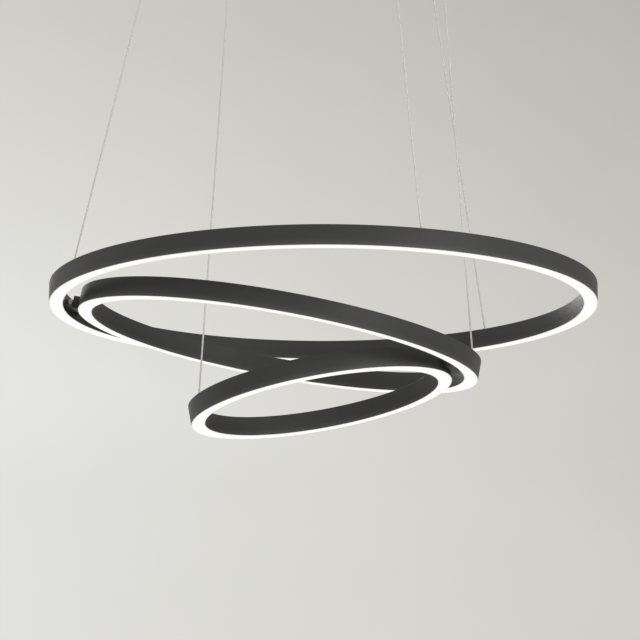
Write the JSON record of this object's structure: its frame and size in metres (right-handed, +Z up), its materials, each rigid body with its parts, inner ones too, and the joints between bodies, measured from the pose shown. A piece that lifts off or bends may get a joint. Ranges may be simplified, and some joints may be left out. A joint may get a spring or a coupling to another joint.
{
  "type": "led ring chandelier",
  "caption": "Pendant light of slim black light rings in falling sizes, each hinged inside the next and tilted, hung by thin jacketed wires from a round ceiling canopy.",
  "frame": {"origin": "middle of the canopy's ceiling face, between the mounting bar's two slots", "axes": "+Z up, +X along the mirror plane towards the side where the medium ring hangs lowest, +Y along the mounting bar"},
  "size_m": [0.7999, 0.8, 1.3171],
  "materials": {
    "ring_coat": "matte",
    "steel_coat": "matte",
    "opal": "satin",
    "board": "satin",
    "led": "satin",
    "wire": "satin",
    "nickel": "gloss",
    "steel": "satin",
    "white_plastic": "satin",
    "rubber": "matte"
  },
  "bodies": {
    "canopy": {"mounting_bar": "steel", "supply_grommet": "rubber", "canopy_shell": "steel_coat", "canopy_screws": "steel", "led_driver": "white_plastic", "terminal_block": "white_plastic", "terminal_clamps": "steel", "electrics_screws": "steel", "gripper_bodies": "nickel", "gripper_nuts": "steel", "wire_ferrules": "nickel", "large_left_wire": "wire", "large_near_wire": "wire", "large_far_wire": "wire", "medium_wire": "wire", "small_wire": "wire"},
    "large_left_sleeve": {"large_left_release_sleeve": "nickel"},
    "large_near_sleeve": {"large_near_release_sleeve": "nickel"},
    "large_far_sleeve": {"large_far_release_sleeve": "nickel"},
    "medium_sleeve": {"medium_release_sleeve": "nickel"},
    "small_sleeve": {"small_release_sleeve": "nickel"},
    "large_ring": {"large_channel": "ring_coat", "large_diffuser": "opal", "large_light_boards": "board", "large_leds": "led", "large_wire_anchors": "nickel", "large_anchor_nuts": "steel", "large_pivot_bracket": "steel_coat", "large_bracket_screws": "steel"},
    "medium_ring": {"medium_channel": "ring_coat", "medium_diffuser": "opal", "medium_light_boards": "board", "medium_leds": "led", "medium_wire_anchors": "nickel", "medium_anchor_nuts": "steel", "medium_pivot_bracket": "steel_coat", "medium_bracket_screws": "steel", "medium_hinge_block": "ring_coat", "medium_block_screws": "steel", "medium_pivot_screws": "steel"},
    "small_ring": {"small_channel": "ring_coat", "small_diffuser": "opal", "small_light_boards": "board", "small_leds": "led", "small_wire_anchors": "nickel", "small_anchor_nuts": "steel", "small_hinge_block": "ring_coat", "small_block_screws": "steel", "small_pivot_screws": "steel"}
  },
  "joints": [
    {"name": "ring_height", "type": "slide", "parent": "canopy", "child": "large_ring", "axis": [0, 0, 1], "range_m": [-0.25, 0.5], "deforming": ["large_left_wire", "large_near_wire", "large_far_wire", "medium_wire", "small_wire"]},
    {"name": "medium_tilt", "type": "hinge", "parent": "large_ring", "child": "medium_ring", "pos_m": [-0.3711, 0, -1.12495], "axis": [0, 1, 0], "range_deg": [-10.18, 10]},
    {"name": "small_tilt", "type": "hinge", "parent": "medium_ring", "child": "small_ring", "pos_m": [0.19825, 0, -1.22859], "axis": [0, -1, 0], "range_deg": [-20.42, 10]},
    {"name": "large_left_release", "type": "slide", "parent": "canopy", "child": "large_left_sleeve", "axis": [0, 0, 1], "range_m": [0, 0.002], "stiffness_N_per_m": 400, "springref_m": -0.002},
    {"name": "large_near_release", "type": "slide", "parent": "canopy", "child": "large_near_sleeve", "axis": [0, 0, 1], "range_m": [0, 0.002], "stiffness_N_per_m": 400, "springref_m": -0.002},
    {"name": "large_far_release", "type": "slide", "parent": "canopy", "child": "large_far_sleeve", "axis": [0, 0, 1], "range_m": [0, 0.002], "stiffness_N_per_m": 400, "springref_m": -0.002},
    {"name": "medium_release", "type": "slide", "parent": "canopy", "child": "medium_sleeve", "axis": [0, 0, 1], "range_m": [0, 0.002], "stiffness_N_per_m": 400, "springref_m": -0.002},
    {"name": "small_release", "type": "slide", "parent": "canopy", "child": "small_sleeve", "axis": [0, 0, 1], "range_m": [0, 0.002], "stiffness_N_per_m": 400, "springref_m": -0.002}
  ]
}
